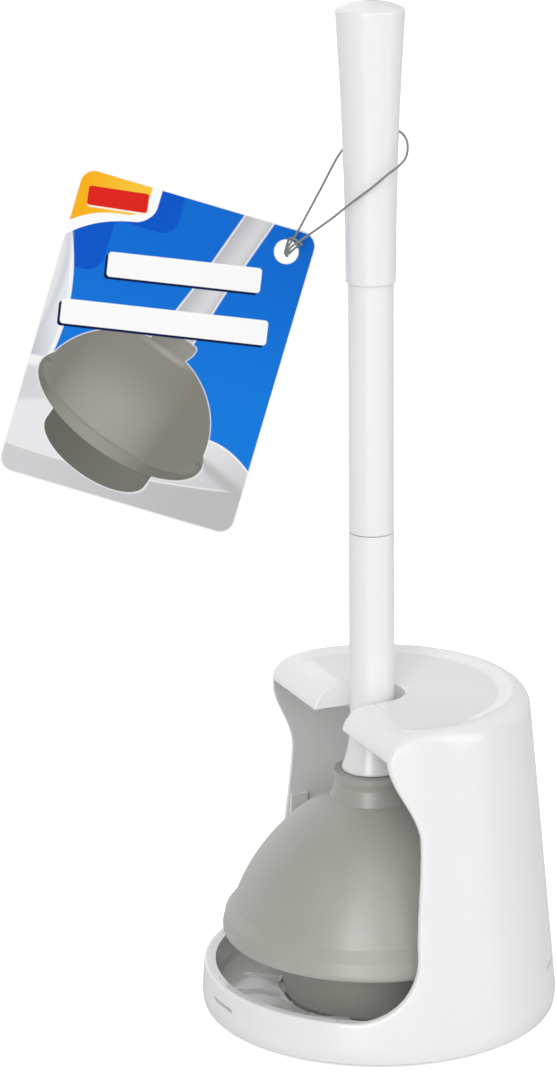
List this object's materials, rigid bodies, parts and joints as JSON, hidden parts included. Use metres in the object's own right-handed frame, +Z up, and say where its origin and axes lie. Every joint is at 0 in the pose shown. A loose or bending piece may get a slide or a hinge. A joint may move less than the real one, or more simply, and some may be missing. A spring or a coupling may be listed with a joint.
{
  "type": "toilet plunger with caddy",
  "caption": "Toilet plunger with a gloss handle and a flanged rubber cup, standing in a tapered open-front drip caddy, with a hang tag on a string.",
  "frame": {"origin": "middle of the caddy's round footprint, on the surface it stands on", "axes": "+Z up along the handle, -Y out of the caddy's opening, +X to the right of someone facing the opening's back wall from the front"},
  "size_m": [0.1662, 0.2434, 0.4704],
  "materials": {
    "caddy_plastic": "high-gloss moulded white",
    "tray_plastic": "gloss moulded white",
    "handle_plastic": "high-gloss moulded white",
    "coupler_plastic": "plain moulded grey",
    "cup_rubber": "satin warm grey",
    "pad_rubber": "matte",
    "tag_card": "coated print with a white border",
    "tag_string": "thin twisted grey string"
  },
  "bodies": {
    "holder": {"holder_shell": "caddy_plastic", "base_tray": "tray_plastic", "foot_pad_1": "pad_rubber", "foot_pad_2": "pad_rubber", "foot_pad_3": "pad_rubber", "foot_pad_4": "pad_rubber"},
    "plunger": {"grip": "handle_plastic", "upper_shaft": "handle_plastic", "lower_shaft": "handle_plastic", "shaft_coupler": "coupler_plastic", "cup_plug": "coupler_plastic", "cup_neck": "cup_rubber", "cup_dome": "cup_rubber"},
    "cup_mouth": {"cup_rim": "cup_rubber"},
    "flange": {"cup_flange": "cup_rubber"},
    "string": {"tag_string": "tag_string"},
    "tag": {"hang_tag": "tag_card"}
  },
  "joints": [
    {"name": "pull_out", "type": "slide", "parent": "holder", "child": "plunger", "axis": [0, -0.8616, 0.5076], "range_m": [0, 0.185]},
    {"name": "cup_squeeze", "type": "slide", "parent": "plunger", "child": "cup_mouth", "axis": [0, 0, 1], "range_m": [0, 0.022], "stiffness_N_per_m": 3000, "deforming": ["cup_dome"]},
    {"name": "flange_fold", "type": "slide", "parent": "cup_mouth", "child": "flange", "axis": [0, 0, 1], "range_m": [0, 0.028]},
    {"name": "tag_turn", "type": "hinge", "parent": "plunger", "child": "string", "pos_m": [0, -0.003, 0.4], "axis": [0, 0, 1], "continuous": true},
    {"name": "tag_swing", "type": "hinge", "parent": "string", "child": "tag", "pos_m": [-0.02252, -0.03415, 0.35715], "axis": [0.9019, -0.3884, 0.1891], "range_deg": [-60, 20]}
  ]
}
